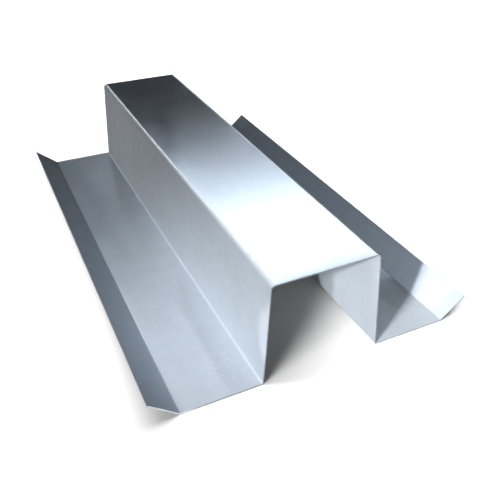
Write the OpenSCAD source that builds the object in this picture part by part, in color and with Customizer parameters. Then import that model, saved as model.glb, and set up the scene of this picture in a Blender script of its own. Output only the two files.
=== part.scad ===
// Hat channel: one strip of zinc-coated sheet steel folded along six lines
// into a crown, two webs, two flanges and two turned-up lips.
// +Y runs along the length, +Z is up, and the origin is on the floor
// below the middle of the crown. Lengths are in millimetres.

/* [Sheet] */
// Thickness of the sheet
sheet_t = 1.2; // [0.8:0.1:2]
// Length that the strip is cut to
length = 500; // [200:10:3000]

/* [Hat] */
// Width of the crown, over the outer faces of the webs
crown_w = 100; // [60:1:113]
// Height from the floor to the top of the crown
height = 100; // [60:1:160]
// Width of the mouth at the floor, over the outer faces of the webs
mouth_w = 113; // [100:1:140]
// Width of each flange, from the web to the fold of the lip
flange_w = 73; // [30:1:150]

/* [Lips] */
// Width of each turned-up lip, from its fold to its cut edge
lip_w = 32; // [10:1:60]
// How far each lip is turned up from the flange, in degrees
lip_angle = 40; // [15:1:75]

/* [Folds] */
// Inside radius of the two folds at the crown
crown_fold_r = 3; // [1:0.5:6]
// Inside radius of the folds at the feet of the webs and at the lips
foot_fold_r = 1.5; // [0.5:0.5:4]

/* [Hidden] */

// Flats that stand in for the curve of each fold
fold_steps = 8;

// The webs lean outwards: the plane of the right web's outer face is all the
// points p with p * web_normal = web_offset
web_lean = atan((mouth_w - crown_w) / 2 / height);
web_normal = [cos(web_lean), sin(web_lean)];
web_offset = web_normal * [crown_w / 2, height];

// Centres of the right side's three folds: the crown's is inside the hat,
// and the other two are above the flange
crown_fold_z = height - sheet_t - crown_fold_r;
foot_fold_z = sheet_t + foot_fold_r;
crown_centre = [x_beside_web(-sheet_t - crown_fold_r, crown_fold_z), crown_fold_z];
foot_centre = [x_beside_web(foot_fold_r, foot_fold_z), foot_fold_z];
lip_centre = [mouth_w / 2 + flange_w - foot_fold_z * tan(lip_angle / 2), foot_fold_z];

// Width of lip left flat past its fold
lip_flat = lip_w - foot_fold_z * tan(lip_angle / 2);

// The x at height z of a point that is a distance off the web's outer face
function x_beside_web(off, z) = (web_offset + off - z * web_normal[1]) / web_normal[0];

function direction(angle) = [cos(angle), sin(angle)];

// Points along an arc, both ends included
function arc(centre, r, from, to) =
    [for (step = [0 : fold_steps]) centre + r * direction(from + (to - from) * step / fold_steps)];

// One face of the sheet, from the crown's flat to the cut edge of the right lip.
// The upper face is on the outside of the crown's fold and the inside of the others.
function right_face(crown_r, foot_r) = concat(
    arc(crown_centre, crown_r, 90, web_lean),
    arc(foot_centre, foot_r, 180 + web_lean, 270),
    arc(lip_centre, foot_r, 270, 270 + lip_angle),
    [lip_centre + foot_r * direction(270 + lip_angle) + lip_flat * direction(lip_angle)]
);

function flipped(points) = [for (p = points) [-p[0], p[1]]];

function backwards(points) = [for (i = [len(points) - 1 : -1 : 0]) points[i]];

module section() {
    upper = right_face(crown_fold_r + sheet_t, foot_fold_r);
    lower = right_face(crown_fold_r, foot_fold_r + sheet_t);
    polygon(concat(upper, backwards(lower), flipped(lower), backwards(flipped(upper))));
}

module hat_channel() {
    color("lightsteelblue")
        rotate([90, 0, 0])
            linear_extrude(height = length, center = true) section();
}

hat_channel();
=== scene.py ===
# Hat channel: one strip of galvanised sheet, folded, on a pale studio floor
import bpy
from math import atan, cos, pi, radians, sin, tan
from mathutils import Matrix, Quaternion, Vector


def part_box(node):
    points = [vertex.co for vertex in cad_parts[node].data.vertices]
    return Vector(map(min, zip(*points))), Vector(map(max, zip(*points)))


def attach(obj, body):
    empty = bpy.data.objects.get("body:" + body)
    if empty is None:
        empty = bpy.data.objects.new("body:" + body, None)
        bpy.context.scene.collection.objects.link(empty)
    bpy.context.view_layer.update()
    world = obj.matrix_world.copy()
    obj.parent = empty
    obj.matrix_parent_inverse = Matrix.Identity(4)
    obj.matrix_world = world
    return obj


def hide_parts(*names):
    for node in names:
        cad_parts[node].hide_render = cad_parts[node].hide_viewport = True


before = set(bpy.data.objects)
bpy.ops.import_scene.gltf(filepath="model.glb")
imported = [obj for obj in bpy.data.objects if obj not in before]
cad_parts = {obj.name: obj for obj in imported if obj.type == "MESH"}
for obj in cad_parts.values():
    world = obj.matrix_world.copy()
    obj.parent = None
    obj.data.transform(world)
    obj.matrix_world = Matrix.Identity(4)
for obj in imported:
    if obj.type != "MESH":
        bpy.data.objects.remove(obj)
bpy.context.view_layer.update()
touching = 1e-5                       # places nearer than this are the same


def deselectAll():
    if bpy.context.object and bpy.context.object.mode != 'OBJECT':
        bpy.ops.object.mode_set(mode='OBJECT')
    bpy.ops.object.select_all(action='DESELECT')


def selectEdges(obj, isWanted):
    # picked in object mode, by the places of an edge's two ends
    bpy.ops.object.mode_set(mode='EDIT')
    bpy.ops.mesh.select_mode(type='EDGE')
    bpy.ops.mesh.select_all(action='DESELECT')
    bpy.ops.object.mode_set(mode='OBJECT')
    spots = obj.data.vertices
    for edge in obj.data.edges:
        edge.select = isWanted(*(obj.matrix_world @ spots[i].co for i in edge.vertices))
    bpy.ops.object.mode_set(mode='EDIT')


def applyModifiers(obj):
    bpy.ops.object.mode_set(mode='OBJECT')
    for modifier in list(obj.modifiers):
        bpy.ops.object.modifier_apply(modifier=modifier.name)


# the strip, as it leaves the folding machine
low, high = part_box('hat_channel')
strip = {
    'sheet': 0.0012,
    'crownWidth': 0.100,
    'mouthWidth': 0.113,
    'flangeWidth': 0.073,
    'lipAngle': radians(40),
    'crownRadius': 0.0042,            # the three radii are those of the upper face
    'footRadius': 0.0015,
    'lipRadius': 0.0015,
    'foldSegments': 10,
    'cutEdgeRound': 0.00012,
    'cutEdgeSegments': 2,
    'cutEdgeFrom': radians(60),       # edges sharper than this are cut edges
    'smoothUpTo': radians(50),
    'squareTo': 0.98,                 # how squarely a cut face has to face its way
    'tipDepth': 0.002,                # how far in from the outermost x a lip's cut face lies
}


def foldCorners(s):
    # where the flats of the upper face would meet, from the crown to a lip's tip
    lean = atan((s['mouthWidth'] - s['crownWidth']) / 2 / high.z)
    crown = (s['crownWidth'] / 2, high.z)
    foot = (crown[0] + (high.z - s['sheet']) * tan(lean), s['sheet'])
    flangeEnd = s['mouthWidth'] / 2 + s['flangeWidth']
    lip = (flangeEnd - s['sheet'] * tan(s['lipAngle'] / 2), s['sheet'])
    tipX = high.x - s['sheet'] * sin(s['lipAngle'])
    tip = (tipX, s['sheet'] + (tipX - lip[0]) * tan(s['lipAngle']))
    return lean, [crown, foot, lip, tip]


def foldLine(x, z):
    # an edge that runs the length of the strip at this place, on either side
    def isOnLine(a, b):
        return all(abs(abs(v.x) - x) < touching and abs(v.z - z) < touching for v in (a, b))
    return isOnLine


def makeStrip(s):
    lean, corners = foldCorners(s)
    length = high.y - low.y
    deselectAll()
    bpy.ops.mesh.primitive_plane_add(size=1, location=(0, 0, high.z))
    obj = bpy.context.object
    obj.name = 'formedStrip'
    bpy.ops.object.mode_set(mode='EDIT')
    bpy.ops.transform.resize(value=(s['crownWidth'], length, 1))
    for side in (1, -1):
        for (x0, z0), (x1, z1) in zip(corners, corners[1:]):
            selectEdges(obj, lambda a, b: all(abs(v.x - side * x0) < touching for v in (a, b)))
            bpy.ops.mesh.extrude_region_move(
                TRANSFORM_OT_translate={'value': (side * (x1 - x0), 0, z1 - z0)})
    print('strip laid out: crown, webs, flanges and lips')

    webFold = radians(90) - lean
    folds = [(corners[0], s['crownRadius'], webFold),
             (corners[1], s['footRadius'], webFold),
             (corners[2], s['lipRadius'], s['lipAngle'])]
    for corner, radius, angle in folds:
        selectEdges(obj, foldLine(*corner))
        bpy.ops.mesh.bevel(offset=radius * tan(angle / 2), segments=s['foldSegments'], profile=0.5)
    bpy.ops.mesh.select_all(action='SELECT')
    bpy.ops.mesh.normals_make_consistent(inside=True)
    bpy.ops.object.mode_set(mode='OBJECT')
    print('folds rounded, crown faces up by', round(obj.data.polygons[0].normal.z, 3))

    wall = obj.modifiers.new('wall', 'SOLIDIFY')
    wall.thickness = s['sheet']
    wall.offset = -1
    wall.use_even_offset = True
    edge = obj.modifiers.new('cutEdge', 'BEVEL')
    edge.width = s['cutEdgeRound']
    edge.segments = s['cutEdgeSegments']
    edge.limit_method = 'ANGLE'
    edge.angle_limit = s['cutEdgeFrom']
    applyModifiers(obj)
    bpy.ops.object.transform_apply(location=True, rotation=True, scale=True)
    bpy.ops.object.shade_smooth_by_angle(angle=s['smoothUpTo'])
    flats = obj.modifiers.new('flatsStayFlat', 'WEIGHTED_NORMAL')
    flats.weight = 100
    flats.keep_sharp = True
    applyModifiers(obj)
    return obj


# the nodes that the materials are put together from
def addNode(nodes, kind, **settings):
    node = nodes.new('ShaderNode' + kind)
    for name, value in settings.items():
        setattr(node, name, value)
    return node


def feed(links, socket, value):
    # a socket takes another node's output or a plain value
    if isinstance(value, bpy.types.NodeSocket):
        links.new(value, socket)
    else:
        socket.default_value = value


def calc(tree, operation, a, b=0.0, clamp=False):
    node = addNode(tree.nodes, 'Math', operation=operation, use_clamp=clamp)
    feed(tree.links, node.inputs[0], a)
    feed(tree.links, node.inputs[1], b)
    return node.outputs[0]


def spread(tree, value, least, most, start=0.0, end=1.0, easing='SMOOTHSTEP'):
    # value from least to most becomes start to end, and is held at both
    node = addNode(tree.nodes, 'MapRange', interpolation_type=easing)
    feed(tree.links, node.inputs['Value'], value)
    for name, number in (('From Min', least), ('From Max', most), ('To Min', start), ('To Max', end)):
        node.inputs[name].default_value = number
    return node.outputs['Result']


def stretch(tree, vector, amounts):
    node = addNode(tree.nodes, 'Mapping')
    node.inputs['Scale'].default_value = amounts
    tree.links.new(vector, node.inputs['Vector'])
    return node.outputs['Vector']


def noise(tree, vector, scale, detail=2.0):
    node = addNode(tree.nodes, 'TexNoise')
    node.inputs['Scale'].default_value = scale
    node.inputs['Detail'].default_value = detail
    tree.links.new(vector, node.inputs['Vector'])
    return node.outputs['Fac']


def cells(tree, vector, scale):
    # how far off a cell's middle is, and three random numbers for each cell
    node = addNode(tree.nodes, 'TexVoronoi')
    node.inputs['Scale'].default_value = scale
    tree.links.new(vector, node.inputs['Vector'])
    dice = addNode(tree.nodes, 'SeparateColor')
    tree.links.new(node.outputs['Color'], dice.inputs[0])
    return node.outputs['Distance'], dice.outputs


def blend(tree, amount, a, b):
    node = addNode(tree.nodes, 'Mix', data_type='RGBA')
    feed(tree.links, node.inputs['Factor'], amount)
    feed(tree.links, node.inputs['A'], a)
    feed(tree.links, node.inputs['B'], b)
    return node.outputs['Result']


def bump(tree, height, distance, under=None):
    node = addNode(tree.nodes, 'Bump')
    node.inputs['Distance'].default_value = distance
    tree.links.new(height, node.inputs['Height'])
    if under:
        tree.links.new(under, node.inputs['Normal'])
    return node.outputs['Normal']


def newGroup(name, inputs, outputs):
    group = bpy.data.node_groups.new(name, 'ShaderNodeTree')
    for label, number in inputs:
        socket = group.interface.new_socket(name=label, in_out='INPUT', socket_type='NodeSocketFloat')
        socket.default_value = number
    for label in outputs:
        group.interface.new_socket(name=label, in_out='OUTPUT', socket_type='NodeSocketFloat')
    return group, group.nodes.new('NodeGroupInput'), group.nodes.new('NodeGroupOutput')


def placeGroup(tree, group, **values):
    node = addNode(tree.nodes, 'Group', node_tree=group)
    for label, number in values.items():
        node.inputs[label].default_value = number
    return node


rolled = {
    'lineScale': 500.0,               # to the metre, as the other scales are
    'lineStretch': (1, 0.012, 1),     # long along the strip
    'grainScale': 900.0,
    'cloudScale': 19,
    'chatterScale': 75,
    'chatterStretch': (0.03, 1, 0.03),    # bars across the strip
}


def rolledGrain(m):
    # what the mill leaves in any face: fine lines, grain, cloudy patches and chatter
    group, given, made = newGroup('rolledGrain', [('Lines', m['lineScale']), ('Grain', m['grainScale'])],
                                  ['Cloud', 'Lines', 'Grain', 'Chatter'])
    spot = addNode(group.nodes, 'TexCoord').outputs['Object']
    along = stretch(group, spot, m['lineStretch'])
    across = stretch(group, spot, m['chatterStretch'])
    for label, vector in (('Lines', along), ('Grain', spot)):
        texture = addNode(group.nodes, 'TexNoise')
        group.links.new(vector, texture.inputs['Vector'])
        group.links.new(given.outputs[label], texture.inputs['Scale'])
        group.links.new(texture.outputs['Fac'], made.inputs[label])
    group.links.new(noise(group, spot, m['cloudScale'], 3), made.inputs['Cloud'])
    group.links.new(noise(group, across, m['chatterScale'], 2), made.inputs['Chatter'])
    return group


def newMaterial(name):
    material = bpy.data.materials.new(name)
    material.use_nodes = True
    tree = material.node_tree
    return material, tree, tree.nodes['Principled BSDF']


def foldMask(tree, spot, x, z, reach):
    # 1 on the folds that run through (x, z) on either side, 0 where reach ends
    axes = addNode(tree.nodes, 'SeparateXYZ')
    tree.links.new(spot, axes.inputs[0])
    across = calc(tree, 'SUBTRACT', calc(tree, 'ABSOLUTE', axes.outputs['X']), x)
    up = calc(tree, 'SUBTRACT', axes.outputs['Z'], z)
    squares = calc(tree, 'ADD', calc(tree, 'POWER', across, 2), calc(tree, 'POWER', up, 2))
    return spread(tree, calc(tree, 'SQRT', squares), *reach, 1, 0)


galvanised = {
    'zincDark': (0.652, 0.723, 0.800, 1),
    'zincLight': (0.732, 0.807, 0.890, 1),
    'foldHighlight': (0.78, 0.85, 0.93, 1),    # a painted highlight along the folds; the zinc is also stretched and rubbed there
    'speck': (0.97, 0.98, 1.0, 1),
    'pit': (0.36, 0.39, 0.42, 1),
    'pitShade': 0.6,
    # how much of each layer goes into the tone from dark to light, and into the roughness
    'toneShares': {'Cloud': 1.1, 'Lines': 0.40, 'Grain': 0.30, 'Chatter': 0.45, 'crystalTone': 0.35},
    'roughShares': {'smear': 0.05, 'Cloud': 0.04, 'Lines': 0.03, 'crystalGloss': 0.02,
                    'bead': 0.20, 'hollow': 0.30, 'folds': 0.30},
    # heights in metres
    'relief': {'waves': 0.00006, 'Chatter': 0.000006, 'Lines': 0.000002, 'Grain': 0.0000015,
               'lumps': 0.00015},
    'roughness': 0.075,               # before the shares above
    'metallic': 0.15,
    'foldMetallic': 0.25,             # rubbed bright along the crown's edges
    'crownFoldInset': 0.0016,         # the painted highlight and the rubbed metal are on the upper half of the crown's folds
    'crownFoldReach': (0.0012, 0.0034),
    'footFoldReach': (0.0010, 0.0020),
    # how much of the painted fold highlight goes along the foot folds
    'footHighlight': 0.25,
    'waveScale': 11,                  # to the metre, as the other scales are
    'smearScale': 26,
    'smearStretch': (1, 0.45, 1),
    'smearFrom': (0.54, 0.70),
    'spangle': 115,                   # crystals
    'specks': 400,
    'speckEdge': (0.20, 0.42),
    'speckShrink': 0.2,               # the smallest are smaller by this much
    'speckPatch': (-0.078, -0.214, 0.0),  # specks are thick here and rare elsewhere
    'patchReach': (0.008, 0.034),
    'patchChance': 0.5,
    'strayScale': 12,
    'strayFrom': (0.45, 0.75),
    'strayChance': (0.003, 0.03),
    'pitChance': 0.12,                # this share of the specks are pits instead
}


def galvanisedSheet(g, grain, corners):
    material, tree, shader = newMaterial('galvanisedSheet')
    spot = addNode(tree.nodes, 'TexCoord').outputs['Object']
    mill = placeGroup(tree, grain)
    layers = {label: mill.outputs[label] for label in ('Cloud', 'Lines', 'Grain', 'Chatter')}
    layers['waves'] = noise(tree, spot, g['waveScale'], 1)

    # crystals of zinc, each a touch lighter or darker and a touch smoother or rougher
    crystal = cells(tree, spot, g['spangle'])[1]
    layers['crystalTone'], layers['crystalGloss'] = crystal['Red'], crystal['Green']

    # small beads and pits of zinc
    middle, dice = cells(tree, spot, g['specks'])
    near = addNode(tree.nodes, 'VectorMath', operation='DISTANCE')
    tree.links.new(spot, near.inputs[0])
    near.inputs[1].default_value = g['speckPatch']
    patch = spread(tree, near.outputs['Value'], *g['patchReach'], g['patchChance'], 0)
    stray = spread(tree, noise(tree, spot, g['strayScale'], 1), *g['strayFrom'], *g['strayChance'])
    chosen = calc(tree, 'LESS_THAN', dice['Red'], calc(tree, 'ADD', patch, stray))
    shrunk = calc(tree, 'MULTIPLY', dice['Blue'], g['speckShrink'])
    body = spread(tree, calc(tree, 'ADD', middle, shrunk), *g['speckEdge'], 1, 0)
    lump = calc(tree, 'MULTIPLY', body, chosen)
    hollow = calc(tree, 'MULTIPLY', lump, calc(tree, 'LESS_THAN', dice['Green'], g['pitChance']))
    bead = calc(tree, 'SUBTRACT', lump, hollow)
    layers.update(bead=bead, hollow=hollow, lumps=calc(tree, 'SUBTRACT', bead, hollow))

    (crownX, crownZ), foot = corners[:2]
    crownFold = foldMask(tree, spot, crownX - g['crownFoldInset'], crownZ, g['crownFoldReach'])
    footFold = foldMask(tree, spot, *foot, g['footFoldReach'])
    layers['folds'] = calc(tree, 'MAXIMUM', crownFold, footFold)

    tone = 0.5
    for name, share in g['toneShares'].items():
        off = calc(tree, 'MULTIPLY', calc(tree, 'SUBTRACT', layers[name], 0.5), share)
        tone = calc(tree, 'ADD', tone, off)
    colour = blend(tree, calc(tree, 'ADD', tone, 0.0, clamp=True), g['zincDark'], g['zincLight'])
    # painted highlight: the folds' colour is lightened where their sheen shows
    highlightOnFolds = calc(tree, 'MAXIMUM', crownFold, calc(tree, 'MULTIPLY', footFold, g['footHighlight']))
    colour = blend(tree, highlightOnFolds, colour, g['foldHighlight'])
    colour = blend(tree, bead, colour, g['speck'])
    colour = blend(tree, calc(tree, 'MULTIPLY', hollow, g['pitShade']), colour, g['pit'])
    tree.links.new(colour, shader.inputs['Base Color'])

    # finger marks show only in the gloss
    layers['smear'] = spread(tree, noise(tree, stretch(tree, spot, g['smearStretch']), g['smearScale'], 4),
                             *g['smearFrom'])
    rough = g['roughness']
    for name, share in g['roughShares'].items():
        rough = calc(tree, 'ADD', rough, calc(tree, 'MULTIPLY', layers[name], share))
    tree.links.new(calc(tree, 'ADD', rough, 0.0, clamp=True), shader.inputs['Roughness'])
    metal = calc(tree, 'MULTIPLY', crownFold, g['foldMetallic'] - g['metallic'])
    tree.links.new(calc(tree, 'ADD', metal, g['metallic'], clamp=True), shader.inputs['Metallic'])
    shader.inputs['Specular IOR Level'].default_value = 0

    normal = None
    for name, height in g['relief'].items():
        normal = bump(tree, layers[name], height, normal)
    tree.links.new(normal, shader.inputs['Normal'])
    return material


sheared = {
    'steelDark': (0.45, 0.48, 0.52, 1),
    'steelLight': (0.70, 0.74, 0.79, 1),
    'zincRim': (0.84, 0.88, 0.93, 1),     # dragged over the steel in patches
    'rimFrom': (0.5, 0.75),
    'rimMost': 0.5,
    'lineScale': 900.0,
    'grainScale': 2600.0,
    'grainShare': 0.5,
    'toneFrom': (0.5, 1.0),
    'tearScale': 1700,
    'tearStretch': (1, 1, 0.25),      # through the thickness
    'tearHeight': 0.00004,
    'roughness': 0.30,
    'tearRoughness': 0.25,
    'metallic': 0.3,
}


def shearedEdge(g, grain):
    # the cut face: bare steel with shear lines through the thickness
    material, tree, shader = newMaterial('shearedEdge')
    spot = addNode(tree.nodes, 'TexCoord').outputs['Object']
    mill = placeGroup(tree, grain, Lines=g['lineScale'], Grain=g['grainScale'])
    tears = noise(tree, stretch(tree, spot, g['tearStretch']), g['tearScale'], 3)
    fine = calc(tree, 'MULTIPLY', mill.outputs['Grain'], g['grainShare'])
    tone = spread(tree, calc(tree, 'ADD', tears, fine), *g['toneFrom'])
    rim = spread(tree, mill.outputs['Cloud'], *g['rimFrom'], 0, g['rimMost'])
    colour = blend(tree, tone, g['steelDark'], g['steelLight'])
    tree.links.new(blend(tree, rim, colour, g['zincRim']), shader.inputs['Base Color'])
    rough = calc(tree, 'ADD', calc(tree, 'MULTIPLY', tears, g['tearRoughness']), g['roughness'], clamp=True)
    tree.links.new(rough, shader.inputs['Roughness'])
    shader.inputs['Metallic'].default_value = g['metallic']
    tree.links.new(bump(tree, tears, g['tearHeight']), shader.inputs['Normal'])
    return material


def finishCutFaces(obj, s, slotIndex):
    # the four cut faces: both ends of the strip and both lips' tips
    lipOut = Vector((cos(s['lipAngle']), 0, sin(s['lipAngle'])))
    deselectAll()
    obj.select_set(True)
    bpy.context.view_layer.objects.active = obj
    for polygon in obj.data.polygons:
        facing = Vector((abs(polygon.normal.x), 0, polygon.normal.z))
        isEnd = abs(polygon.normal.y) > s['squareTo']
        isTip = facing.dot(lipOut) > s['squareTo'] and abs(polygon.center.x) > high.x - s['tipDepth']
        polygon.select = isEnd or isTip
    bpy.ops.object.mode_set(mode='EDIT')
    bpy.ops.mesh.select_mode(type='FACE')
    obj.active_material_index = slotIndex
    bpy.ops.object.material_slot_assign()
    bpy.ops.mesh.select_all(action='DESELECT')
    bpy.ops.object.mode_set(mode='OBJECT')


studio = {
    'floorSize': 12,
    'floorTone': (0.46, 0.43, 0.395, 1),
    'glowNear': 0.045,                # its own light, which keeps the darkest shade grey
    'glowFrom': 0.38,                 # out from here its own light takes over from the lamps
    'glowFull': 0.75,
}


def paleFloor(s):
    deselectAll()
    bpy.ops.mesh.primitive_plane_add(size=s['floorSize'], location=(0, 0, low.z))
    floor = bpy.context.object
    floor.name = 'studioFloor'
    material, tree, shader = newMaterial('paleFloor')
    shader.inputs['Base Color'].default_value = s['floorTone']
    far = addNode(tree.nodes, 'VectorMath', operation='LENGTH')
    tree.links.new(addNode(tree.nodes, 'TexCoord').outputs['Object'], far.inputs[0])
    glow = spread(tree, far.outputs['Value'], s['glowFrom'], s['glowFull'], s['glowNear'], 1)
    tree.links.new(glow, shader.inputs['Emission Strength'])
    shader.inputs['Emission Color'].default_value = (1, 1, 1, 1)
    shader.inputs['Roughness'].default_value = 1
    shader.inputs['Specular IOR Level'].default_value = 0
    floor.data.materials.append(material)
    floor.visible_glossy = False      # the sheet mirrors the room, and the bright floor doesn't light it
    floor.visible_diffuse = False
    return floor


def toneRamp(nodes, links, value, stops, tint=(1, 1, 1)):
    # tones along a value; the stops are places and tones
    ramp = addNode(nodes, 'ValToRGB')
    elements = ramp.color_ramp.elements
    while len(elements) < len(stops):
        elements.new(0.5)
    for element, (place, tone) in zip(elements, stops):
        element.position = place
        element.color = (tone * tint[0], tone * tint[1], tone * tint[2], 1)
    links.new(value, ramp.inputs['Fac'])
    return ramp.outputs['Color']


keyPlace = (-0.267, -0.437, 0.273)
skyTint = (0.92, 1, 1.09)
floorTint = (0.94, 1, 1.09)

# a lamp with a cone is a spot, and one with a size is a soft panel; a panel's tones run from
# its lower edge, 0, to its upper edge, 1, and without a target it faces back along the strip
sheetLights = {
    'key': {
        'place': keyPlace, 'target': (0.018, -0.218, 0.098),
        'cone': radians(61.6), 'blend': 1, 'radius': 0.012, 'power': 16},
    'sideKey': {                      # beside the key, for the near flange
        'place': (-0.325, -0.437, 0.273), 'target': (-0.115, -0.25, 0),
        'cone': radians(60), 'blend': 1, 'radius': 0.012, 'power': 26},
    'mouthKey': {                     # low, in past the near web's end to the far web's inner face
        'place': (-0.277, -0.452, 0.055), 'target': (0.054, -0.2202, 0.05),
        'cone': radians(18), 'blend': 0, 'radius': 0.004, 'power': 16},
    'edgeSpot': {                     # straight at the near lip's cut end
        'place': (-0.16, -0.75, 0.03), 'target': (-0.143, -0.25, 0.008),
        'cone': radians(9), 'blend': 1, 'radius': 0.01, 'power': 45},
    'lipSpot': {                      # from the key past the crown's end at the far lip
        'place': keyPlace, 'target': (0.165, -0.24, 0.02),
        'cone': radians(15), 'blend': 1, 'radius': 0.012, 'power': 28},
    'backPanel': {                    # the crown's long fade
        'place': (1.93, 3, 1.8), 'size': (2.04, 1.0), 'radiance': 10.2,
        'gives': 'reflection', 'tint': skyTint,
        'tones': [(0, 0), (0.1, 0.05), (0.27, 0.155), (0.51, 0.42), (0.75, 0.76), (1, 1.08)]},
    'farPanel': {
        'place': (7.9, 12, 9.52), 'size': (6.2, 1.965), 'radiance': 13,
        'gives': 'reflection', 'tint': skyTint},
    'cornerPanel': {                  # carries the fade on to the crown's far corner
        'place': (0.797, 3, 1.623), 'size': (0.18, 0.96), 'radiance': 10.2,
        'gives': 'reflection', 'tint': skyTint, 'roll': radians(24),
        'tones': [(0.13, 0), (0.25, 0.06), (0.44, 0.18), (0.71, 0.46), (0.99, 0.75)]},
    'flangePanel': {                  # the near flange's sheen
        'place': (0.687, 3, 2.5), 'size': (1.0, 3.14), 'radiance': 3.2,
        'gives': 'reflection', 'tint': skyTint, 'roll': radians(27),
        'tones': [(0, 0.09), (0.1, 0.13), (0.2, 0.19), (0.5, 0.31), (0.65, 0.4), (1, 0.42)]},
    'foldStrip': {                    # the pale line along the crown's near fold
        'place': (-0.2, 3, 2.2), 'size': (0.9, 2.0), 'radiance': 11,
        'gives': 'reflection', 'roll': radians(11.5),
        'tones': [(0, 0), (0.15, 0.1), (0.35, 0.5), (0.55, 1)]},
    'leftWall': {
        'place': (-2.0, 3, 2.6), 'size': (2.4, 4.0), 'radiance': 2.7,
        'gives': 'reflection', 'tint': skyTint,
        'tones': [(0, 0), (0.25, 0.06), (0.5, 0.25), (0.75, 0.56), (1, 1)]},
    'rightHigh': {
        'place': (3.6, 3, 4.1), 'size': (1.7, 1.6), 'radiance': 2.2,
        'gives': 'reflection', 'tones': [(0, 0), (0.15, 1)]},
    'lowRight': {
        'place': (0.46, 0, 0.05), 'target': (0, 0, 0.05), 'size': (0.7, 0.06), 'radiance': 2.2,
        'gives': 'light'},
    'lowLeft': {
        'place': (-0.32, 0.16, 0.075), 'target': (0, 0.14, 0.03), 'size': (0.44, 0.04), 'radiance': 4.4,
        'gives': 'light', 'tint': (1.04, 1, 0.95)},
}
floorLights = {
    'floorOverhead': {
        'place': (0, 1.35, 2.6), 'target': (0, 1.35, 0), 'size': (5.0, 3.2), 'radiance': 7.6,
        'tint': floorTint},
    'floorMouth': {                   # from the key's side, for the shade in the open end
        'place': (-0.2265, -0.368, 0.187), 'target': (0.09, -0.25, 0),
        'cone': radians(46), 'blend': 0.6, 'radius': 0.095, 'power': 185, 'tint': floorTint},
    'floorSide': {
        'place': (-0.9, 0.12, 0.35), 'target': (-0.18, 0.06, 0),
        'cone': radians(48), 'blend': 0.7, 'radius': 0.1, 'power': 90, 'tint': floorTint},
}


def hangLamp(name, kind, k):
    deselectAll()
    bpy.ops.object.light_add(type=kind, location=k['place'])
    lamp = bpy.context.object
    lamp.name = name
    x, _, z = k['place']
    toward = Vector(k['place']) - Vector(k.get('target', (x, 0, z)))
    lamp.rotation_mode = 'QUATERNION'
    lamp.rotation_quaternion = toward.to_track_quat('Z', 'Y') @ Quaternion((0, 0, 1), k.get('roll', 0))
    lamp.data.color = k.get('tint', (1, 1, 1))
    return lamp


def softPanel(name, k):
    panel = hangLamp(name, 'AREA', k)
    panel.visible_camera = False
    panel.visible_diffuse = k.get('gives') != 'reflection'
    panel.visible_glossy = k.get('gives') != 'light'
    light = panel.data
    light.shape = 'RECTANGLE'
    light.size, light.size_y = k['size']
    light.energy = k['radiance'] * pi * light.size * light.size_y
    if 'tones' in k:
        light.use_nodes = True
        nodes, links = light.node_tree.nodes, light.node_tree.links
        axes = addNode(nodes, 'SeparateXYZ')
        links.new(addNode(nodes, 'NewGeometry').outputs['Parametric'], axes.inputs[0])
        links.new(toneRamp(nodes, links, axes.outputs['Y'], k['tones']), nodes['Emission'].inputs['Strength'])
    return panel


def softSpot(name, k):
    # as bright far off as near by, within its cone
    spot = hangLamp(name, 'SPOT', k)
    light = spot.data
    light.spot_size = k['cone']
    light.spot_blend = k['blend']
    light.shadow_soft_size = k['radius']
    light.energy = k['power']
    light.use_nodes = True
    nodes, links = light.node_tree.nodes, light.node_tree.links
    even = addNode(nodes, 'LightFalloff')
    even.inputs['Strength'].default_value = 1
    links.new(even.outputs['Constant'], nodes['Emission'].inputs['Strength'])
    return spot


def groupOf(name, obj):
    group = bpy.data.collections.new(name)
    group.objects.link(obj)
    return group


def hangLights(lights, litGroup, shadeGroup):
    # these light one thing only, and only the things in shadeGroup stand in their way
    hung = {}
    for name, k in lights.items():
        hung[name] = softSpot(name, k) if 'cone' in k else softPanel(name, k)
        hung[name].light_linking.receiver_collection = litGroup
        hung[name].light_linking.blocker_collection = shadeGroup
    return hung


lipFlag = {                           # a narrow card that keeps the side key off the near lip
    'width': 0.045,
    'overhang': 1.1,                  # its length over the strip's
    'reach': 0.85,                    # its place on the way from the lamp to the lip
}


def hangFlag(k, s, lamp):
    # the card has the lip's own shape, drawn in toward the lamp
    fold, tip = (Vector((-x, 0, z)) for x, z in foldCorners(s)[1][2:])
    middle = fold + (tip - fold).normalized() * k['width'] / 2
    length = (high.y - low.y) * k['overhang']
    deselectAll()
    bpy.ops.mesh.primitive_plane_add(size=k['reach'], rotation=(0, s['lipAngle'], 0),
                                     location=Vector(lamp['place']).lerp(middle, k['reach']))
    card = bpy.context.object
    card.name = 'lipFlag'
    card.scale = (k['width'], length, 1)
    bpy.ops.object.transform_apply(location=False, rotation=False, scale=True)
    card.visible_camera = False
    card.visible_glossy = False
    card.visible_diffuse = False


roomTones = {
    'ambient': (0.012, 0.0),          # lights the sheet from the left, falling to the right
    'ground': 0.045,                  # what the pale ground throws up under it
    'horizon': -0.03,
    'tint': (0.95, 1, 1.06),
    'pool': 0.12,                     # on the ground past the far end, in reflections
    'poolFrom': (0.60, 0.85),
    'pastEnd': (0.05, 0.5),           # where the tones for the far end take over
    # reflections, from straight down, 0, to straight up, 1: on all sides, and past the far end
    'around': [(0.0, 0.6), (0.5, 0.6), (0.62, 2.2), (1.0, 3.4)],
    'mirrored': [(0.0, 0.10), (0.48, 0.10), (0.51, 0.20), (0.74, 0.26), (0.86, 0.2), (1.0, 0.10)],
}


def mixShaders(tree, amount, first, second):
    node = addNode(tree.nodes, 'MixShader')
    for socket, value in zip(node.inputs, (amount, first, second)):
        tree.links.new(value, socket)
    return node.outputs[0]


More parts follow.
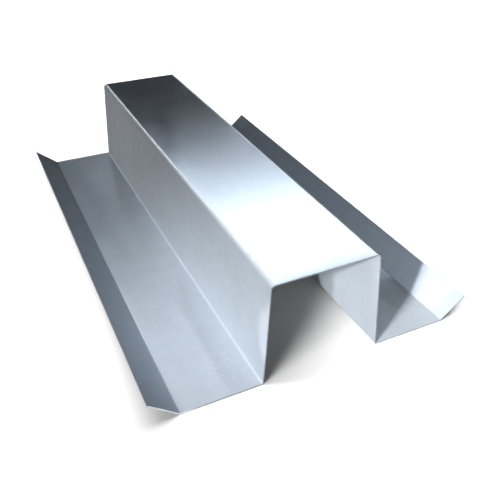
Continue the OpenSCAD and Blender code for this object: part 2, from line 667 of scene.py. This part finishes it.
def room(r):
    world = bpy.data.worlds.new('room')
    bpy.context.scene.world = world
    world.use_nodes = True
    world.cycles.sampling_method = 'NONE'     # or the mirrored tones would light the sheet too
    tree = world.node_tree
    nodes, links = tree.nodes, tree.links
    axes = addNode(nodes, 'SeparateXYZ')
    links.new(addNode(nodes, 'TexCoord').outputs['Generated'], axes.inputs[0])
    across, along, up = axes.outputs
    height = spread(tree, up, -1, 1, easing='LINEAR')
    below = calc(tree, 'LESS_THAN', up, r['horizon'])
    seen = addNode(nodes, 'LightPath').outputs

    # what is mirrored past the far end, with the pool of light on the ground
    pool = addNode(nodes, 'VectorMath', operation='MULTIPLY_ADD')
    links.new(spread(tree, along, *r['poolFrom'], 0, r['pool'], 'LINEAR'), pool.inputs[0])
    links.new(below, pool.inputs[1])
    links.new(toneRamp(nodes, links, height, r['mirrored'], r['tint']), pool.inputs[2])

    # the tones on all sides show in reflections only, not in light that has scattered
    farOnly = calc(tree, 'MAXIMUM', spread(tree, along, *r['pastEnd']), seen['Diffuse Depth'])
    around = toneRamp(nodes, links, height, r['around'])
    mirrored = nodes['Background']
    links.new(blend(tree, farOnly, around, pool.outputs[0]), mirrored.inputs['Color'])

    # what lights the sheet, and the pale backdrop that the camera sees
    ambient = addNode(nodes, 'Background')
    fromSide = spread(tree, across, -1, 1, *r['ambient'], 'LINEAR')
    fromGround = calc(tree, 'MULTIPLY', below, r['ground'])
    links.new(calc(tree, 'ADD', fromSide, fromGround), ambient.inputs['Color'])
    pale = addNode(nodes, 'Background')
    pale.inputs['Color'].default_value = (1, 1, 1, 1)
    lit = mixShaders(tree, seen['Is Diffuse Ray'], mirrored.outputs[0], ambient.outputs[0])
    whole = mixShaders(tree, seen['Is Camera Ray'], lit, pale.outputs[0])
    links.new(whole, nodes['World Output'].inputs['Surface'])


camera = {
    'place': (-0.22065, -0.58048, 0.38294),
    'azimuth': radians(-25.865),
    'elevation': radians(33.006),
    'lens': 44.935,
    'sensor': 36,
    'shift': (-0.0166, -0.0200),
}


def placeCamera(c):
    deselectAll()
    bpy.ops.object.camera_add(location=c['place'])
    cam = bpy.context.object
    a, e = c['azimuth'], c['elevation']
    back = Vector((sin(a) * cos(e), -cos(a) * cos(e), sin(e)))
    cam.rotation_mode = 'QUATERNION'
    cam.rotation_quaternion = (-back).to_track_quat('-Z', 'Y')
    cam.data.lens = c['lens']
    cam.data.sensor_width = c['sensor']
    cam.data.shift_x, cam.data.shift_y = c['shift']
    cam.data.clip_start = 0.01
    bpy.context.scene.camera = cam


placeCamera(camera)
formed = makeStrip(strip)
grain = rolledGrain(rolled)
formed.data.materials.append(galvanisedSheet(galvanised, grain, foldCorners(strip)[1]))
formed.data.materials.append(shearedEdge(sheared, grain))
finishCutFaces(formed, strip, 1)
print('finishes made')
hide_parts('hat_channel')
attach(formed, 'root')
floor = paleFloor(studio)
room(roomTones)

sheetGroup = groupOf('theSheet', formed)
floorGroup = groupOf('theFloor', floor)
hung = hangLights(sheetLights, sheetGroup, sheetGroup)
hangLights(floorLights, floorGroup, sheetGroup)
hung['sideKey'].light_linking.blocker_collection = None    # the card stands in its way too
hangFlag(lipFlag, strip, sheetLights['sideKey'])
bpy.context.scene.view_settings.view_transform = 'Standard'
print('studio lit')
